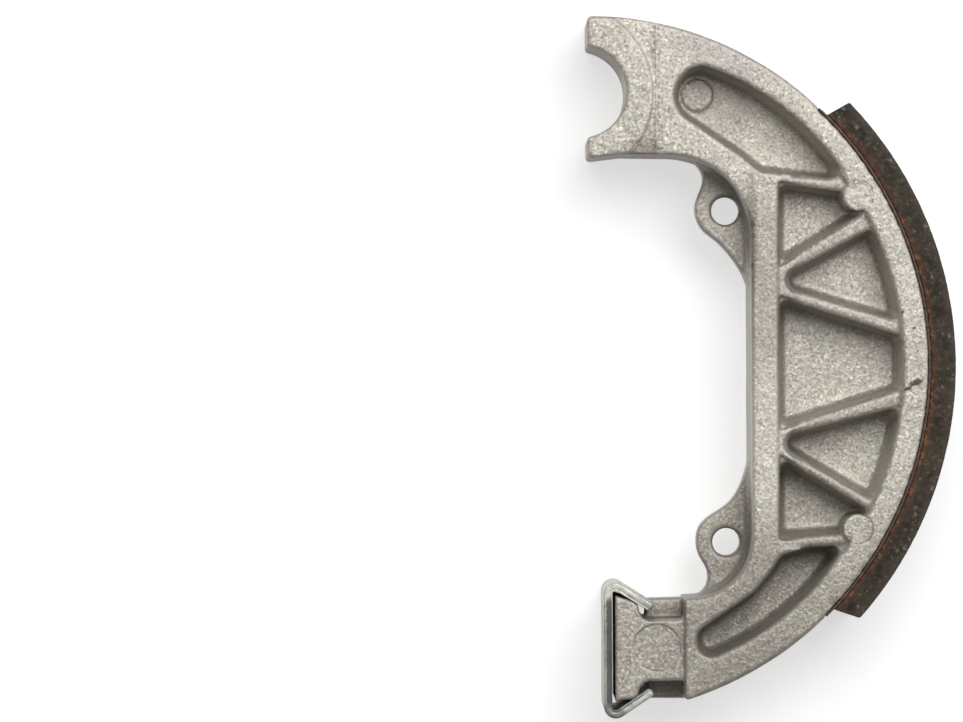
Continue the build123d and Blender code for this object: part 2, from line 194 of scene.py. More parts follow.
# ------------------------------------------------------------------ materials
def cast_aluminium():
    k = Kit("cast_aluminium")
    # blasted skin: 0.2 to 0.5 mm facets, each tilted its own way, over a finer grain
    big = k.noise(430.0, 3.0, 0.55)
    grain = k.noise(2500.0, 2.0, 0.55, 0.2)
    fine = k.noise(6500.0, 1.0, 0.5)
    dimple = k.cells(2000.0, "SMOOTH_F1", rand=1.0, smooth=0.3)
    height = k.m("ADD", k.m("MULTIPLY", grain, 0.62), k.m("MULTIPLY", dimple, 0.5))
    height = k.m("ADD", height, k.m("MULTIPLY", fine, 0.2))
    normal = k.bump(height, 0.000065, 1.0)
    normal = k.bump(big, 0.00010, 0.5, normal)
    facet = k.cells(3200.0, "F1", out="Color")
    tilt = k.scaled(k.vec("SUBTRACT", facet, (0.5, 0.5, 0.5)), 0.19)
    normal = k.vec("NORMALIZE", k.vec("ADD", normal, tilt))
    # rings left by the ejector pins
    rings = None
    for (x, y, rad, wide, deep) in [(11.5, -40.9, 3.35, 0.34, 0.75), (40.65, -23.75, 2.2, 0.20, 0.9), (40.8, 24.45, 2.2, 0.16, 0.3)]:
        v = k.vec("SUBTRACT", k.co, row(x, y, 0))
        vx, vy, _ = k.xyz(v)
        d = k.m("SQRT", k.m("ADD", k.m("MULTIPLY", vx, vx), k.m("MULTIPLY", vy, vy)))
        d = k.m("ADD", d, k.m("MULTIPLY", k.m("SUBTRACT", k.noise(700.0, 2.0, 0.5), 0.5), 0.00016))
        off = k.m("ABSOLUTE", k.m("SUBTRACT", d, rad * MM))
        s = k.m("MULTIPLY", k.span(off, wide * MM, 0.0), deep)
        rings = s if rings is None else k.m("MAXIMUM", rings, s)
    z = k.m("ABSOLUTE", k.xyz()[2])
    rings = k.m("MULTIPLY", rings, k.span(z, 11.9 * MM, 12.1 * MM))
    rings = k.m("MULTIPLY", rings, k.span(k.noise(420.0, 2.0, 0.5), 0.36, 0.62, 0.25, 1.0))
    normal = k.bump(rings, -0.00010, 1.0, normal)
    # a fine flash line where a die insert ended, straight across the fork; its near-white colour further down is a
    # painted highlight
    fx, fy, fz = k.xyz()
    fx = k.m("ADD", fx, k.m("MULTIPLY", k.m("SUBTRACT", k.noise(900.0, 2.0, 0.5), 0.5), 0.00008))
    flash_and_highlight = k.span(k.m("ABSOLUTE", k.m("SUBTRACT", fx, (11.75 - AX) * MM)), 0.19 * MM, 0.05 * MM)
    flash_and_highlight = k.m("MULTIPLY", flash_and_highlight, k.span(z, 11.9 * MM, 12.1 * MM))
    flash_and_highlight = k.m("MULTIPLY", flash_and_highlight, k.span(fy, (30.5 - AY) * MM, (31.5 - AY) * MM))
    flash_and_highlight = k.m("MULTIPLY", flash_and_highlight, k.span(k.noise(650.0, 3.0, 0.6), 0.34, 0.6, 0.15, 1.0))
    normal = k.bump(flash_and_highlight, 0.00002, 1.0, normal)
    # the step round the anchor's land, darkened as painted shade, and a darker strip beside it towards the fork's lower
    # edge
    sx, sy, _ = k.xyz(k.vec("SUBTRACT", k.co, row(-2.1, 39.4, 0)))
    sd = k.m("MULTIPLY", k.m("SQRT", k.m("ADD", k.m("MULTIPLY", sx, sx), k.m("MULTIPLY", sy, sy))), 1000.0)
    sd = k.m("ADD", sd, k.m("MULTIPLY", k.m("SUBTRACT", k.noise(800.0, 2.0, 0.5), 0.5), 0.16))
    left = k.m("MULTIPLY", k.span(fx, (12.0 - AX) * MM, (11.7 - AX) * MM), k.span(fy, (28.0 - AY) * MM, (28.6 - AY) * MM))
    land_step_shade = k.m("MULTIPLY", k.m("MULTIPLY", k.span(k.m("ABSOLUTE", k.m("SUBTRACT", sd, 13.3)), 0.28, 0.05), left), k.span(z, 11.6 * MM, 11.9 * MM))
    strip_low = k.m("MULTIPLY", k.m("MULTIPLY", k.span(sd, 13.4, 13.9), left), k.span(fy, (35.0 - AY) * MM, (31.4 - AY) * MM))
    # colour: grey with warm and cool patches, dark in the dimples, bright on the peaks
    patch = k.noise(75.0, 3.0, 0.5)
    base = k.mix(k.span(patch, 0.35, 0.65), rgb(172, 167, 157), rgb(163, 157, 149))
    hue = k.noise(520.0, 2.0, 0.5)
    base = k.mix(k.span(hue, 0.52, 0.66, 0.0, 0.35), base, rgb(178, 166, 160))
    base = k.mix(k.span(hue, 0.48, 0.34, 0.0, 0.35), base, rgb(166, 169, 156))
    speck = k.xyz(facet)[0]
    base = k.mix(k.span(speck, 0.72, 1.0, 0.0, 0.36), base, rgb(222, 218, 206))
    base = k.mix(k.span(speck, 0.34, 0.0, 0.0, 0.34), base, rgb(116, 110, 100))
    base = k.mix(k.span(grain, 0.50, 0.36, 0.0, 0.30), base, rgb(128, 122, 112))
    base = k.mix(k.m("MULTIPLY", rings, 0.45), base, rgb(104, 97, 89))
    # painted highlight: the flash line coloured near-white as if catching the light
    base = k.mix(k.m("MULTIPLY", flash_and_highlight, 0.52), base, rgb(222, 217, 205))
    # painted shade along the step round the anchor's land
    base = k.mix(k.m("MULTIPLY", land_step_shade, 0.52), base, rgb(112, 103, 92))
    base = k.mix(k.m("MULTIPLY", strip_low, 0.45), base, rgb(120, 114, 102))
    # painted shade: the steep outer flanks round the notch and hub that face the cam end, away from the light, are
    # darkened and browned
    geo = k.t.nodes.new("ShaderNodeNewGeometry")
    steep = k.span(k.m("ABSOLUTE", k.xyz(geo.outputs["Normal"])[2]), 0.75, 0.35)
    ox, oy, _ = k.xyz()
    nx, ny = k.m("SUBTRACT", ox, 0.0), k.m("SUBTRACT", oy, 0.0)
    notch = k.m("MULTIPLY", k.m("SQRT", k.m("ADD", k.m("MULTIPLY", nx, nx), k.m("MULTIPLY", ny, ny))), 1000.0)
    outer = k.span(notch, 7.6, 7.2)
    hub = k.m("MULTIPLY", k.span(ox, (25.9 - AX) * MM, (25.6 - AX) * MM), k.m("MULTIPLY", k.span(oy, (31.9 - AY) * MM, (31.5 - AY) * MM), k.span(oy, (-35.6 - AY) * MM, (-35.2 - AY) * MM)))
    outer = k.m("MAXIMUM", outer, hub)
    wall_y = k.xyz(geo.outputs["Normal"])[1]
    down = k.span(wall_y, -0.15, -0.6)
    outer = k.m("MULTIPLY", outer, down)
    # painted shade on the outer flanks that face away from the light
    base = k.mix(k.m("MULTIPLY", steep, k.m("MULTIPLY", outer, 0.66)), base, rgb(88, 82, 72))
    # painted shade on the pocket walls that face the cam end, away from the light, thickest near their tops
    pocket = k.m("MULTIPLY", k.span(ox, (16.0 - AX) * MM, (17.0 - AX) * MM), k.m("SUBTRACT", 1.0, hub))
    painted_wall_shade = k.m("MULTIPLY", k.m("MULTIPLY", steep, down), k.m("MULTIPLY", pocket, k.span(z, 7.0 * MM, 11.9 * MM, 0.0, 0.44)))
    base = k.mix(painted_wall_shade, base, rgb(62, 56, 48))
    # painted light: pocket walls that face the drum's axis are lightened
    inward = k.m("MULTIPLY", k.m("MULTIPLY", steep, k.span(k.xyz(geo.outputs["Normal"])[0], -0.3, -0.8)), pocket)
    base = k.mix(k.m("MULTIPLY", inward, 0.5), base, rgb(228, 220, 206))
    # painted shade on the rib tops, standing for their rounded shape; the lugs darker, partly painted shade from the
    # beam beside them and partly their greyer tone; painted shade on the thin flange
    flat = k.m("SUBTRACT", 1.0, steep)
    rib_top_shade = k.m("MULTIPLY", flat, k.m("MULTIPLY", k.span(z, 10.5 * MM, 10.9 * MM), k.span(z, 12.1 * MM, 11.95 * MM)))
    rib_top_shade = k.m("MULTIPLY", rib_top_shade, k.span(ox, (29.0 - AX) * MM, (31.5 - AX) * MM))
    base = k.mix(k.m("MULTIPLY", rib_top_shade, 0.34), base, rgb(128, 121, 111))
    # the lugs: partly painted shade, partly a greyer tone
    lug_tone_and_shade = k.m("MULTIPLY", k.m("MULTIPLY", flat, k.span(z, 4.2 * MM, 3.8 * MM)), k.span(ox, (25.4 - AX) * MM, (24.8 - AX) * MM))
    base = k.mix(k.m("MULTIPLY", lug_tone_and_shade, 0.30), base, rgb(136, 130, 120))
    # painted shade on the flange below the tongue, darker towards the tongue's neck
    flange_shade = k.m("MULTIPLY", k.m("MULTIPLY", k.span(z, 4.0 * MM, 3.6 * MM), k.span(ox, (15.9 - AX) * MM, (15.5 - AX) * MM)),
              k.m("MULTIPLY", k.span(oy, (-32.8 - AY) * MM, (-33.4 - AY) * MM), k.span(oy, (-37.0 - AY) * MM, (-36.6 - AY) * MM)))
    base = k.mix(k.m("MULTIPLY", flange_shade, k.span(oy, (-34.2 - AY) * MM, (-36.4 - AY) * MM, 0.08, 0.60)), base, rgb(104, 96, 84))
    # painted shade: a dark line along the shoulder's step behind the tongue
    shoulder_shade = k.m("MULTIPLY", k.span(k.m("ABSOLUTE", k.m("SUBTRACT", ox, (15.5 - AX) * MM)), 0.34 * MM, 0.10 * MM), k.span(oy, (-33.4 - AY) * MM, (-34.2 - AY) * MM))
    shoulder_shade = k.m("MULTIPLY", shoulder_shade, k.span(z, 11.3 * MM, 11.7 * MM))
    base = k.mix(k.m("MULTIPLY", shoulder_shade, 0.5), base, rgb(92, 85, 75))
    # a ragged smear of bond along the seat
    rr = k.radius()
    smear = k.m("ADD", rr, k.m("MULTIPLY", k.m("SUBTRACT", k.noise(800.0, 4.0, 0.7), 0.5), 0.9))
    turn = k.m("ARCTAN2", k.m("ADD", oy, AY * MM), k.m("ADD", ox, AX * MM))
    seat = k.m("MULTIPLY", k.span(turn, math.radians(-45.6), math.radians(-45.0)), k.span(turn, math.radians(46.8), math.radians(46.3)))
    smear = k.m("MULTIPLY", k.span(smear, 50.72, 50.98), seat)
    base = k.mix(k.m("MULTIPLY", smear, 0.7), base, rgb(96, 74, 56))
    # stains and marks from handling; a dark streak on the beam's inner edge, a darker and a lighter patch along the
    # beam, a darker spot beside the fork's underside, and painted shade over the cam end
    mauve = k.spot(20.5, 45.0, 12.5, 7.5, 3.0, 4.0, -28, 0.55, 300.0, 0.9)
    streak = k.spot(24.0, -43.5, 12.5, 8.0, 2.6, 4.0, 28, 0.6, 280.0, 0.9)
    beam = k.spot(25.45, 18.0, 12.4, 0.8, 8.0, 4.0, 0, 0.6, 420.0, 0.9)
    under = k.spot(9.6, 31.6, 12.2, 2.6, 1.5, 3.0, 0, 0.5, 700.0, 0.8)
    beam_dark_patch = k.spot(27.0, 10.0, 12.5, 3.4, 17.0, 4.0, 0, 0.4, 260.0, 1.0)
    bright = k.spot(27.2, -11.0, 12.5, 3.2, 13.0, 4.0, 0, 0.4, 260.0, 1.0)
    base = k.mix(k.m("MULTIPLY", mauve, 0.35), base, rgb(142, 134, 134))
    base = k.mix(k.m("MULTIPLY", streak, 0.40), base, rgb(122, 117, 109))
    # painted shade: the cam end darkened as the light falls off towards it
    cam_end_shade = k.spot(25.0, -34.0, 8.0, 17.0, 12.0, 14.0, 35, 0.35, 200.0, 1.4)
    base = k.mix(k.m("MULTIPLY", cam_end_shade, 0.60), base, rgb(124, 119, 110))
    base = k.mix(k.m("MULTIPLY", beam_dark_patch, 0.62), base, rgb(142, 135, 128))
    base = k.mix(k.m("MULTIPLY", bright, 0.30), base, rgb(206, 201, 191))
    base = k.mix(k.m("MULTIPLY", beam, 0.66), base, rgb(98, 91, 82))
    base = k.mix(k.m("MULTIPLY", under, 0.55), base, rgb(112, 104, 94))
    marks = None
    for (x, y, rx, ry, turn) in [
        (49.2, -2.5, 0.95, 0.42, 14), (47.9, -3.5, 0.55, 0.24, 20), (48.6, -2.9, 0.40, 0.22, 40),
        (25.6, 20.5, 0.30, 0.50, 0), (25.5, 14.5, 0.30, 0.40, 0), (25.6, 18.6, 0.20, 0.24, 0),
        (47.2, 7.5, 0.34, 0.18, 60), (48.9, 5.3, 0.22, 0.14, 0), (12.3, 31.4, 0.50, 0.20, 0),
    ]:
        s = k.spot(x, y, 12.4, rx, ry, 1.6, turn, 0.9, 2600.0, 0.8)
        if x < 46:
            s = k.m("MULTIPLY", s, 0.55)
        marks = s if marks is None else k.m("MAXIMUM", marks, s)
    base = k.mix(k.m("MULTIPLY", marks, 0.8), base, rgb(44, 39, 36))
    k.put(k.bsdf.inputs["Base Color"], base)
    k.bsdf.inputs["Metallic"].default_value = 0.5
    rough = k.m("ADD", 0.43, k.m("MULTIPLY", k.noise(900.0, 2.0, 0.5), 0.16))
    rough = k.m("ADD", rough, k.m("MULTIPLY", marks, 0.25), clamp=True)
    k.put(k.bsdf.inputs["Roughness"], rough)
    k.put(k.bsdf.inputs["Normal"], normal)
    return k.mat


def friction_lining():
    k = Kit("friction_lining")
    r = k.radius()
    grain = k.noise(1500.0, 4.0, 0.65)
    coarse = k.noise(520.0, 3.0, 0.6)
    shaken = k.vec("ADD", k.co, k.scaled(k.vec("SUBTRACT", k.cells(2600.0, "F1", out="Color"), (0.5, 0.5, 0.5)), 0.00030))
    chips = k.cells(1200.0, "F1", vec=shaken, out="Color")
    chip_v = k.xyz(chips)[0]
    chip_d = k.cells(1200.0, "F1", vec=shaken)
    base = k.mix(k.span(coarse, 0.35, 0.66), rgb(40, 35, 28), rgb(60, 52, 43))
    base = k.mix(k.span(r, 53.4, 54.8, 0.0, 0.55), base, rgb(72, 66, 58))
    base = k.mix(k.span(grain, 0.52, 0.72, 0.0, 0.65), base, rgb(96, 86, 74))
    base = k.mix(k.span(grain, 0.44, 0.30, 0.0, 0.75), base, rgb(20, 17, 13))
    # pale grains: mineral and brass, 0.2 to 0.4 mm, sparse
    pale = k.m("MULTIPLY", k.span(chip_v, 0.82, 0.98), k.span(chip_d, 0.52, 0.08))
    base = k.mix(k.m("MULTIPLY", pale, 0.46), base, rgb(146, 138, 126))
    small = k.m("MULTIPLY", k.span(k.xyz(k.cells(1700.0, "F1", out="Color"))[1], 0.88, 0.91),
                k.span(k.cells(1700.0, "F1"), 0.36, 0.20))
    base = k.mix(k.m("MULTIPLY", small, 0.6), base, rgb(128, 116, 92))
    # next to the bond: red-brown, ragged, with rusty flecks
    streak = k.noise(1150.0, 4.0, 0.65, 0.3)
    mottle = k.noise(260.0, 3.0, 0.6)
    ragged = k.m("SUBTRACT", k.noise(900.0, 4.0, 0.7), 0.5)
    edge = k.m("ADD", r, k.m("MULTIPLY", ragged, 1.6))
    band = k.span(edge, 52.7, 51.3)
    base = k.mix(k.m("MULTIPLY", band, 0.9), base, rgb(74, 51, 37))
    fleck = k.m("MULTIPLY", k.span(edge, 52.5, 51.4), k.span(streak, 0.50, 0.64))
    fleck = k.m("MULTIPLY", fleck, k.span(mottle, 0.40, 0.60, 0.25, 1.0))
    base = k.mix(k.m("MULTIPLY", fleck, 0.75), base, rgb(150, 95, 60))
    dark = k.m("MULTIPLY", k.span(edge, 52.6, 51.6), k.span(streak, 0.46, 0.34))
    base = k.mix(k.m("MULTIPLY", dark, 0.7), base, rgb(46, 33, 25))
    k.put(k.bsdf.inputs["Base Color"], base)
    k.bsdf.inputs["Specular IOR Level"].default_value = 0.28
    k.put(k.bsdf.inputs["Roughness"], k.m("ADD", 0.72, k.m("MULTIPLY", grain, 0.2)))
    k.put(k.bsdf.inputs["Metallic"], k.m("MULTIPLY", small, 0.5))
    h = k.m("ADD", k.m("MULTIPLY", grain, 0.8), k.m("MULTIPLY", coarse, 0.8))
    h = k.m("ADD", h, k.m("MULTIPLY", pale, 0.25))
    k.put(k.bsdf.inputs["Normal"], k.bump(h, 0.00014, 1.0))
    return k.mat


def bonding_adhesive():
    k = Kit("bonding_adhesive")
    n = k.noise(1300.0, 4.0, 0.65, 0.5)
    rust = k.noise(650.0, 3.0, 0.6)
    base = k.mix(k.span(n, 0.38, 0.62), rgb(48, 36, 28), rgb(82, 60, 44))
    base = k.mix(k.span(rust, 0.54, 0.68, 0.0, 0.45), base, rgb(122, 82, 56))
    # bare film past the lining is darker
    x, y, _ = k.xyz()
    a = k.m("ARCTAN2", k.m("ADD", y, AY * MM), k.m("ADD", x, AX * MM))
    past = k.m("MAXIMUM", k.span(a, math.radians(44.6), math.radians(45.0)),
               k.span(a, math.radians(-43.4), math.radians(-43.8)))
    base = k.mix(k.m("MULTIPLY", past, 0.80), base, rgb(62, 58, 50))
    k.put(k.bsdf.inputs["Base Color"], base)
    k.put(k.bsdf.inputs["Roughness"], k.span(n, 0.3, 0.7, 0.42, 0.66))
    k.put(k.bsdf.inputs["Normal"], k.bump(k.m("ADD", n, rust), 0.00012, 1.0))
    return k.mat


def plated_steel():
    k = Kit("plated_steel")
    x, y, z = k.xyz()
    # depth into the sheet from its outer skin, 0 to 1
    plate = k.m("SUBTRACT", k.m("ADD", x, AX * MM), 3.8 * MM)

    def from_line(px, py, ang, side):
        """Distance below a sloping line through (px, py)."""
        nx, ny = -math.sin(ang) * side, -math.cos(ang) * side
        ox, oy, _ = row(px, py)
        return k.m("ADD", k.m("MULTIPLY", k.m("SUBTRACT", x, ox), nx), k.m("MULTIPLY", k.m("SUBTRACT", y, oy), ny))

    upper = from_line(8.78, -34.56 + 1.2 / math.cos(math.radians(32.3)), math.radians(32.3), 1)
    lower = from_line(8.78, -47.85 - 1.2 / math.cos(math.radians(34.0)), math.radians(-34.0), -1)
    depth = k.m("SMOOTH_MIN", k.m("SMOOTH_MIN", plate, upper, 0.0006), lower, 0.0006)
    depth = k.m("DIVIDE", depth, 1.2 * MM)
    depth = k.m("ADD", depth, k.m("MULTIPLY", k.m("SUBTRACT", k.noise(900.0, 3.0, 0.6), 0.5), 0.16))
    rim = k.span(k.m("ABSOLUTE", z), 11.85 * MM, 12.05 * MM)
    # how far along the sheet: the plate between the bends, and the two legs
    on_plate = k.m("MULTIPLY", k.span(y, (-33.2 - AY) * MM, (-34.4 - AY) * MM), k.span(y, (-49.6 - AY) * MM, (-48.6 - AY) * MM))
    on_plate = k.m("MULTIPLY", on_plate, k.span(x, (6.2 - AX) * MM, (5.4 - AX) * MM))
    on_low = k.m("MULTIPLY", k.span(y, (-47.2 - AY) * MM, (-48.0 - AY) * MM), k.span(x, (5.6 - AX) * MM, (6.4 - AX) * MM))
    on_up = k.span(y, (-34.8 - AY) * MM, (-33.9 - AY) * MM)
    torn = k.m("MULTIPLY", on_plate, k.m("MULTIPLY", k.span(depth, 0.26, 0.42), k.span(depth, 1.04, 0.95)))
    line = k.m("MULTIPLY", on_low, k.m("MULTIPLY", k.span(depth, 0.68, 0.76), k.span(depth, 0.92, 0.84)))
    torn = k.m("MULTIPLY", rim, k.m("MAXIMUM", torn, k.m("MULTIPLY", line, 0.8)))
    # painted reflection: a dark patch on the lower bend, as if it mirrored dark surroundings
    bend_dark_reflection = k.spot(5.2, -50.2, 12.0, 1.9, 1.0, 8.0, -20, 0.55, 900.0, 0.8)
    cloud = k.noise(160.0, 3.0, 0.55)
    spangle = k.noise(700.0, 2.0, 0.5)
    drawn = k.noise(1.0, 3.0, 0.6, vec=k.stretch((0.0004, 0.0004, 0.006)))
    along = k.noise(1.0, 3.0, 0.6, vec=k.stretch((0.0020, 0.00022, 0.006), math.radians(-32.3)))
    base = k.mix(k.span(cloud, 0.35, 0.65), rgb(152, 154, 149), rgb(176, 178, 171))
    base = k.mix(k.span(spangle, 0.55, 0.75, 0.0, 0.45), base, rgb(126, 129, 125))
    # yellow-green tint of the passivation
    base = k.mix(k.span(k.noise(240.0, 2.0, 0.5), 0.48, 0.68, 0.0, 0.35), base, rgb(176, 179, 154))
    # painted highlight: the upper leg lightened where it faces the light; drawn streaks along it follow
    base = k.mix(k.m("MULTIPLY", on_up, k.span(cloud, 0.3, 0.7, 0.30, 0.65)), base, rgb(208, 210, 196))
    base = k.mix(k.m("MULTIPLY", on_up, k.span(along, 0.50, 0.66, 0.0, 0.70)), base, rgb(142, 145, 128))
    base = k.mix(k.m("MULTIPLY", rim, k.span(k.noise(1000.0, 3.0, 0.65), 0.52, 0.68, 0.0, 0.50)), base, rgb(104, 106, 98))
    specks = k.span(k.cells(600.0, "F1"), 0.16, 0.08)
    base = k.mix(k.m("MULTIPLY", specks, 0.30), base, rgb(92, 90, 84))
    # painted dark reflection on the lower bend
    base = k.mix(k.m("MULTIPLY", bend_dark_reflection, 0.55), base, rgb(62, 62, 58))
    base = k.mix(k.m("MULTIPLY", torn, 0.85), base, rgb(74, 75, 71))
    k.put(k.bsdf.inputs["Base Color"], base)
    k.bsdf.inputs["Metallic"].default_value = 0.6
    rough = k.m("ADD", k.span(drawn, 0.3, 0.7, 0.40, 0.54), k.m("MULTIPLY", k.span(spangle, 0.5, 0.7), 0.08))
    rough = k.m("ADD", rough, k.m("MULTIPLY", torn, 0.2), clamp=True)
    k.put(k.bsdf.inputs["Roughness"], rough)
    h = k.m("ADD", k.m("MULTIPLY", drawn, 0.5), k.m("MULTIPLY", k.noise(1500.0, 2.0, 0.5), 0.5))
    h = k.m("ADD", h, k.m("MULTIPLY", torn, k.m("MULTIPLY", k.noise(2600.0, 3.0, 0.7), 1.5)))
    k.put(k.bsdf.inputs["Normal"], k.bump(h, 0.000025, 1.0))
    return k.mat


MATERIALS = {"cast_aluminium": cast_aluminium(), "friction_lining": friction_lining(),
             "bonding_adhesive": bonding_adhesive(), "plated_steel": plated_steel()}


# ------------------------------------------------------------------- mesh kit
def value_noise(p, cell, seed):
    """Smooth noise from -1 to 1 at points p (n, 3), in the units of cell."""
    q = p / cell
    i = np.floor(q).astype(np.int64)
    f = q - i
    f = f * f * (3 - 2 * f)
    total = np.zeros(len(p))
    for dx in (0, 1):
        for dy in (0, 1):
            for dz in (0, 1):
                h = (i[:, 0] + dx) * 374761393 + (i[:, 1] + dy) * 668265263 + (i[:, 2] + dz) * 2147483647 + seed * 1274126177
                h = (h ^ (h >> 13)) * 1103515245
                h = (h ^ (h >> 16)) & 0xFFFFF
                v = h / 0xFFFFF * 2 - 1
                w = (f[:, 0] if dx else 1 - f[:, 0]) * (f[:, 1] if dy else 1 - f[:, 1]) * (f[:, 2] if dz else 1 - f[:, 2])
                total += v * w
    return total


def coords(mesh):
    co = np.zeros(len(mesh.vertices) * 3)
    mesh.vertices.foreach_get("co", co)
    return co.reshape(-1, 3)


def normals(mesh):
    no = np.zeros(len(mesh.vertices) * 3)
    mesh.vertices.foreach_get("normal", no)
    return no.reshape(-1, 3)


def set_coords(mesh, co):
    mesh.vertices.foreach_set("co", co.astype(np.float32).ravel())
    mesh.update()


def finish_piece(ob, node, slot):
    ob.data.materials.clear()
    ob.data.materials.append(MATERIALS[slot])
    ob.data.polygons.foreach_set("use_smooth", [True] * len(ob.data.polygons))
    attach(ob, "root")
    if node:
        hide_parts(node)
    return ob


def from_node(node, name):
    """A welded copy of a CAD node's mesh, as a new object."""
    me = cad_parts[node].data.copy()
    me.name = name
    bm = bmesh.new()
    bm.from_mesh(me)
    bmesh.ops.remove_doubles(bm, verts=bm.verts, dist=1e-7)
    bm.to_mesh(me)
    bm.free()
    ob = bpy.data.objects.new(name, me)
    scene.collection.objects.link(ob)
    return ob


def bake(ob):
    """Applies an object's modifiers."""
    dg = bpy.context.evaluated_depsgraph_get()
    me = bpy.data.meshes.new_from_object(ob.evaluated_get(dg), preserve_all_data_layers=False, depsgraph=dg)
    old = ob.data
    ob.modifiers.clear()
    ob.data = me
    bpy.data.meshes.remove(old)
    me.name = ob.name
    return me


def voxel(ob, size, rounds):
    m = ob.modifiers.new("voxel", "REMESH")
    m.mode, m.voxel_size, m.adaptivity = "VOXEL", size, 0.0
    s = ob.modifiers.new("smooth", "SMOOTH")
    s.factor, s.iterations = 0.5, rounds
    return bake(ob)


def thin(ob, triangles):
    now = sum(len(p.vertices) - 2 for p in ob.data.polygons)
    if now > triangles:
        d = ob.modifiers.new("thin", "DECIMATE")
        d.ratio = triangles / now
        bake(ob)


# ------------------------------------------------------------------ the casting
# The machined-looking CAD shape, with every edge and corner drawn smooth as
# the metal leaves the mould.
casting = from_node("shoe_body", "casting")
voxel(casting, 0.00022, 3)
# the pockets and lugs have softer corners than the tongue, which was trimmed
co = coords(casting.data) / MM + np.array([AX, AY, 0.0])
soft = np.clip(np.maximum((co[:, 0] - 16.2) / 1.5, (co[:, 1] + 32.0) / 2.0), 0, 1)
vg = casting.vertex_groups.new(name="soft")
for level in range(1, 9):
    pick = np.nonzero(np.round(soft * 8).astype(int) == level)[0]
    if len(pick):
        vg.add(pick.tolist(), level / 8, "REPLACE")
m = casting.modifiers.new("soften", "SMOOTH")
m.factor, m.iterations, m.vertex_group = 0.5, 5, "soft"
bake(casting)
co, no = coords(casting.data), normals(casting.data)
wave = value_noise(co / MM, 5.0, 3) * 0.030 + value_noise(co / MM, 1.7, 5) * 0.014
mm = co / MM + np.array([AX, AY, 0.0]) + no * (wave[:, None] - 0.03)
side = np.sign(mm[:, 2])
# the strip between the anchor's land and the flash line is only a shade lower
sunk = np.clip((np.hypot(mm[:, 0] + 2.1, mm[:, 1] - 39.4) - 13.2) / 0.2, 0, 1) * (mm[:, 0] < 12.4) * (mm[:, 1] > 28.0)
lift = np.clip((12.49 - np.abs(mm[:, 2])) / 0.35, 0, 1) * 0.13 * np.clip((np.abs(mm[:, 2]) - 11.7) / 0.35, 0, 1)
mm[:, 2] += side * lift * sunk
# the ejector disc on the floor of the fork slot stands hardly proud
disc = (np.hypot(mm[:, 0] - 17.87, mm[:, 1] - 39.43) < 2.9) & (np.abs(mm[:, 2]) < 4.2) & (np.abs(mm[:, 2]) > 2.76)
mm[:, 2] -= side * disc * (np.abs(mm[:, 2]) - 2.76) * 0.5
# the table's edge against the lining is trimmed square
ang = np.degrees(np.arctan2(mm[:, 1], mm[:, 0]))
r = np.hypot(mm[:, 0], mm[:, 1])
u, v = (r - 50.45) / 0.55, (np.abs(mm[:, 2]) - 11.95) / 0.55
seat = (ang > -45.6) & (ang < 46.9) & (u > 0) & (v > 0) & (r > 50.0)
m = np.hypot(u, v)
square = np.where(seat & (m > 0.5), 1.0 / np.maximum(np.maximum(u, v) / np.maximum(m, 1e-6), 0.707), 1.0)
square = 1.0 + (square - 1.0) * 0.8 * np.clip((m - 0.5) / 0.4, 0, 1)
r2 = np.where(seat, np.minimum(50.45 + u * square * 0.55, 50.99), r)
z2 = np.where(seat, np.minimum(11.95 + v * square * 0.55, 12.49), np.abs(mm[:, 2]))
mm[:, :2] *= (r2 / r)[:, None]
mm[:, 2] = side * z2
set_coords(casting.data, (mm - np.array([AX, AY, 0.0])) * MM)
thin(casting, 195000)
finish_piece(casting, "shoe_body", "cast_aluminium")

# ------------------------------------------------------------------ the lining
lining = from_node("lining", "lining_pad")
voxel(lining, 0.00026, 1)
co, no = coords(lining.data), normals(lining.data)
mm = co / MM + np.array([AX, AY, 0.0])
r = np.hypot(mm[:, 0], mm[:, 1])
# the outer face is true to the drum's radius, however coarse the copy was
near_out = np.clip((r - 54.9) / 0.06, 0, 1)
scale = np.where(near_out > 0, (r + (DRUM_R - 0.02 - r) * near_out) / r, 1.0)
mm[:, :2] *= scale[:, None]
r = np.hypot(mm[:, 0], mm[:, 1])
# crumbled edges: sawn corners lose small grains
edge_r = np.minimum(np.abs(r - DRUM_R), np.abs(r - LIN_R) + 0.6)
edge_z = HALF - np.abs(mm[:, 2])
near = np.clip(1.0 - np.hypot(edge_r, edge_z) / 0.7, 0, 1)
chip = np.clip(value_noise(mm, 0.8, 11) * 0.8 + value_noise(mm, 0.35, 12) * 0.5 - 0.15, 0, 1) * 0.42 + 0.05
rough = value_noise(mm, 0.9, 13) * 0.02 + value_noise(mm, 0.4, 14) * 0.015
mm -= no * (near * chip + 0.02 - rough)[:, None]
mm[:, 2] = np.clip(mm[:, 2], -HALF + 0.01, HALF - 0.01)
r = np.hypot(mm[:, 0], mm[:, 1])
mm[:, :2] *= np.where(r < LIN_R + 0.0, LIN_R / np.maximum(r, 1), 1.0)[:, None]
set_coords(lining.data, (mm - np.array([AX, AY, 0.0])) * MM)
thin(lining, 150000)
finish_piece(lining, "lining", "friction_lining")


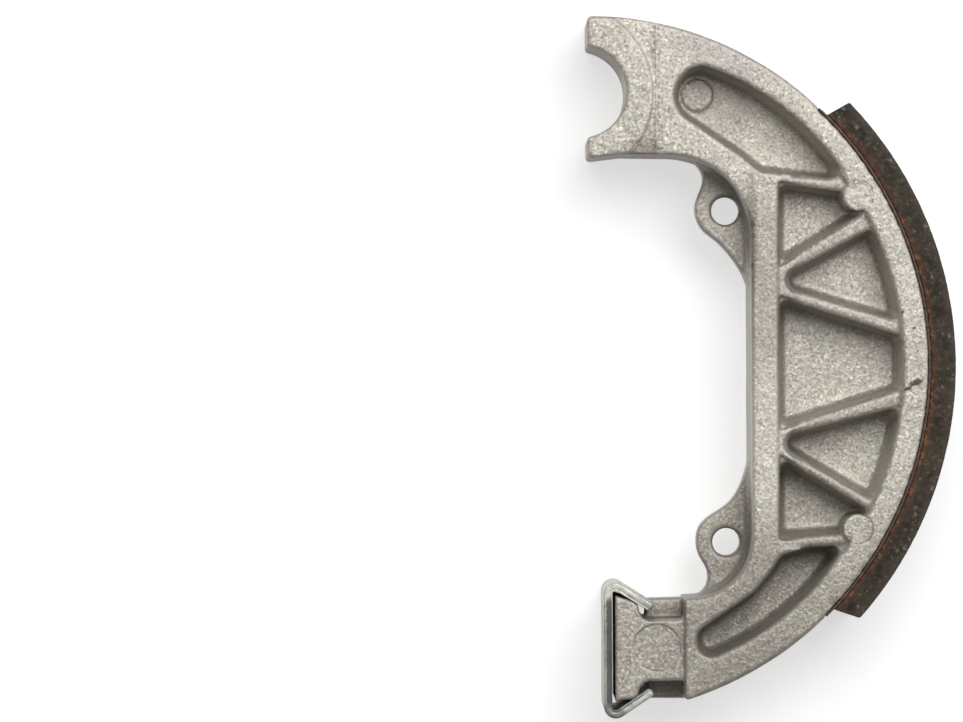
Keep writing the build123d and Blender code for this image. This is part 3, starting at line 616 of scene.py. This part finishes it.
# --------------------------------------------------------------- the bond film
def strip(name):
    """The film, with ragged edges where it was squeezed out between seat and lining."""
    a0, a1 = math.radians(-45.25), math.radians(46.55)
    n = 560
    bm = bmesh.new()
    rings = []
    ang = np.linspace(a0, a1, n)
    p = np.stack([ang * 51.0, np.zeros(n), np.zeros(n)], 1)
    for i, a in enumerate(ang):
        # how far the film stands out past each side and how thick it is here
        q = p[i : i + 1]
        front = 12.43 + 0.03 * float(value_noise(q, 1.1, 21)[0]) + 0.025 * float(value_noise(q, 0.4, 22)[0])
        back = 12.43 + 0.03 * float(value_noise(q, 1.1, 23)[0]) + 0.025 * float(value_noise(q, 0.4, 24)[0])
        covered = math.radians(-43.55) < a < math.radians(44.85)
        top = 0.395 if covered else 0.34 + 0.05 * float(value_noise(q, 0.7, 25)[0])
        ring = []
        for r_, z_ in [(0.0, -back + 0.05), (0.1, -back), (top - 0.05, -back + 0.02), (top, -back + 0.1),
                       (top, front - 0.1), (top - 0.05, front - 0.02), (0.1, front), (0.0, front - 0.05)]:
            rr = SEAT_R + 0.005 + r_
            ring.append(bm.verts.new(row(rr * math.cos(a), rr * math.sin(a), z_)))
        rings.append(ring)
    for a, b in zip(rings, rings[1:]):
        for j in range(8):
            bm.faces.new((a[j], b[j], b[(j + 1) % 8], a[(j + 1) % 8]))
    bm.faces.new(rings[0])
    bm.faces.new(list(reversed(rings[-1])))
    bmesh.ops.recalc_face_normals(bm, faces=bm.faces)
    me = bpy.data.meshes.new(name)
    bm.to_mesh(me)
    bm.free()
    ob = bpy.data.objects.new(name, me)
    scene.collection.objects.link(ob)
    return ob


film = strip("film")
finish_piece(film, "bond_film", "bonding_adhesive")

# -------------------------------------------------------------- the steel clip
SLOPE_UP, SLOPE_LO = math.radians(32.3), math.radians(34.0)
BEAR_UP, BEAR_LO = (8.78, -34.56), (8.78, -47.85)
CLIP_T, CLIP_HALF, PLATE_IN, TIP, BEND_R = 1.2, 12.2, 5.0, 10.5, 1.75


def leg_up(x, t=0.0):
    return BEAR_UP[1] - math.tan(SLOPE_UP) * (x - BEAR_UP[0]) + t / math.cos(SLOPE_UP)


def leg_lo(x, t=0.0):
    return BEAR_LO[1] + math.tan(SLOPE_LO) * (x - BEAR_LO[0]) - t / math.cos(SLOPE_LO)


def sheet_path():
    """Points and directions along the outer skin of the bent sheet, from the upper tip round to the lower one."""
    x0 = PLATE_IN - CLIP_T
    up_x, lo_x = TIP + CLIP_T * math.sin(SLOPE_UP), TIP + CLIP_T * math.sin(SLOPE_LO)
    stops = [Vector((up_x, leg_up(up_x, CLIP_T))), Vector((x0, leg_up(x0, CLIP_T))),
             Vector((x0, leg_lo(x0, CLIP_T))), Vector((lo_x, leg_lo(lo_x, CLIP_T)))]
    out = []

    def run(p, q, d):
        n = max(2, round((q - p).length / 0.45))
        out.extend((p.lerp(q, j / n), d) for j in range(n + 1))

    start = stops[0]
    for i in (1, 2):
        d0, d1 = (stops[i] - stops[i - 1]).normalized(), (stops[i + 1] - stops[i]).normalized()
        turn = math.acos(d0.dot(d1))
        cut = BEND_R * math.tan(turn / 2)
        run(start, stops[i] - d0 * cut, d0)
        left = Vector((-d0.y, d0.x))
        c = stops[i] - d0 * cut + left * BEND_R
        for j in range(1, 20):
            a = turn * j / 20
            d = Vector((d0.x * math.cos(a) - d0.y * math.sin(a), d0.x * math.sin(a) + d0.y * math.cos(a)))
            out.append((c - Vector((-d.y, d.x)) * BEND_R, d))
        start = stops[i] + d1 * cut
    run(start, stops[3], d1)
    return out


def sheet_metal(name):
    """The clip: a sheared and bent sheet. Its sheared edges have a rolled outer
    corner, a burnished band, a torn groove and a small burr, as a press leaves them."""
    path = sheet_path()
    zs = [-CLIP_HALF, -CLIP_HALF + 0.25] + list(np.linspace(-11.2, -4.4, 9)) + [-3.65, -3.4] + \
         list(np.linspace(-2.4, 2.4, 5)) + [3.4, 3.65] + list(np.linspace(4.4, 11.2, 9)) + [CLIP_HALF - 0.25, CLIP_HALF]
    ts = [0.0, 0.03, 0.08, 0.16, 0.3, 0.45, 0.58, 0.65, 0.72, 0.80, 0.88, 0.95, 1.0]
    side = [-0.20, -0.09, -0.03, 0.0, 0.0, 0.0, -0.01, -0.05, -0.10, -0.09, -0.04, -0.01, -0.03]
    tip = [-0.42, -0.30, -0.19, -0.09, -0.01, 0.0, 0.0, -0.02, -0.05, -0.11, -0.20, -0.28, -0.36]
    full = [True] * (len(path) - 1)
    inside = [min(path[i][0].x, path[i + 1][0].x) < 9.3 for i in range(len(path) - 1)]
    cell = [[(full if abs((zs[k] + zs[k + 1]) / 2) > 3.4 else inside)[i] for k in range(len(zs) - 1)] for i in range(len(path) - 1)]
    bm = bmesh.new()
    verts = {}

    def there(i, k):
        return 0 <= i < len(path) - 1 and 0 <= k < len(zs) - 1 and cell[i][k]

    def vert(i, k, t):
        key = (i, k, t)
        if key not in verts:
            (p, d), z = path[i], zs[k]
            inward = Vector((-d.y, d.x))
            # outward directions of the sheet's rim at this corner
            ez = (1 if not (there(i, k) or there(i - 1, k)) else 0) - (1 if not (there(i, k - 1) or there(i - 1, k - 1)) else 0)
            ed = (1 if not (there(i, k) or there(i, k - 1)) else 0) - (1 if not (there(i - 1, k) or there(i - 1, k - 1)) else 0)
            q = np.array([[p.x * 1.0, p.y * 1.0, z + t * 3]])
            rag = float(value_noise(q, 0.6, 31)[0]) * (0.035 if 0.6 < ts[t] < 0.95 else 0.010)
            pos = p + inward * (CLIP_T * ts[t])
            # the groove is shallow along the upper leg, deeper round the plate
            deep = 0.3 if i * 3 < len(path) else (0.75 if p.y < -49.0 else 1.0)
            if ed:
                pos = pos + d * ((tip[t] + rag) * ed)
            bulge = float(value_noise(np.array([[p.x, p.y, z]]), 4.0, 32)[0]) * 0.02 + 0.02
            pos = pos + inward * bulge
            verts[key] = bm.verts.new(row(pos.x, pos.y, z + (side[t] * (deep if 0.5 < ts[t] < 0.97 else 1.0) + rag * deep) * ez))
        return verts[key]

    last = len(ts) - 1
    for i in range(len(path) - 1):
        for k in range(len(zs) - 1):
            if not cell[i][k]:
                continue
            for t in (0, last):
                bm.faces.new([vert(i, k, t), vert(i + 1, k, t), vert(i + 1, k + 1, t), vert(i, k + 1, t)])
            for (di, dk, a, b) in ((-1, 0, (i, k), (i, k + 1)), (1, 0, (i + 1, k), (i + 1, k + 1)),
                                   (0, -1, (i, k), (i + 1, k)), (0, 1, (i, k + 1), (i + 1, k + 1))):
                if not there(i + di, k + dk):
                    for t in range(last):
                        bm.faces.new([vert(*a, t), vert(*b, t), vert(*b, t + 1), vert(*a, t + 1)])
    bmesh.ops.recalc_face_normals(bm, faces=bm.faces)
    me = bpy.data.meshes.new(name)
    bm.to_mesh(me)
    bm.free()
    ob = bpy.data.objects.new(name, me)
    scene.collection.objects.link(ob)
    return ob


clip = sheet_metal("clip")
finish_piece(clip, "cam_clip", "plated_steel")

# --------------------------------------------------------------- floor, lights
floor_mesh = bpy.data.meshes.new("floor")
floor_mesh.from_pydata([(-3, -3, -HALF * MM), (3, -3, -HALF * MM), (3, 3, -HALF * MM), (-3, 3, -HALF * MM)], [], [(0, 1, 2, 3)])
floor = bpy.data.objects.new("floor", floor_mesh)
scene.collection.objects.link(floor)
kf = Kit("floor")
kf.put(kf.bsdf.inputs["Base Color"], (0.5, 0.5, 0.5, 1.0))
kf.bsdf.inputs["Emission Color"].default_value = (1.0, 1.0, 1.0, 1.0)
kf.bsdf.inputs["Emission Strength"].default_value = 0.60
kf.bsdf.inputs["Roughness"].default_value = 0.9
floor.data.materials.append(kf.mat)

world = bpy.data.worlds.new("studio")
world.use_nodes = True
world.node_tree.nodes["Background"].inputs["Color"].default_value = (1.0, 1.0, 1.0, 1.0)
# a pale room, brighter beyond the fork end than beyond the cam end
wt = world.node_tree
toward = wt.nodes.new("ShaderNodeTexCoord").outputs["Generated"]
split = wt.nodes.new("ShaderNodeSeparateXYZ")
wt.links.new(toward, split.inputs[0])
lean = wt.nodes.new("ShaderNodeMath")
lean.operation = "MULTIPLY_ADD"
wt.links.new(split.outputs[1], lean.inputs[0])
lean.inputs[1].default_value, lean.inputs[2].default_value = 0.24, 0.335
wt.links.new(lean.outputs[0], wt.nodes["Background"].inputs["Strength"])
scene.world = world


def softbox(name, at, size, power, target=(0.026, -0.04, 0.0)):
    data = bpy.data.lights.new(name, "AREA")
    data.shape, data.size, data.size_y, data.energy = "RECTANGLE", size[0], size[1], power
    ob = bpy.data.objects.new(name, data)
    ob.location = at
    ob.rotation_euler = (Vector(at) - Vector(target)).to_track_quat("Z", "Y").to_euler()
    scene.collection.objects.link(ob)
    ob.visible_camera = False
    return ob


softbox("key", (0.118, 0.095, 0.39), (0.20, 0.20), 1.05)
softbox("top", (-0.05, 0.30, 0.80), (0.5, 0.5), 2.02)

scene.view_settings.view_transform = "Standard"
scene.view_settings.look = "None"
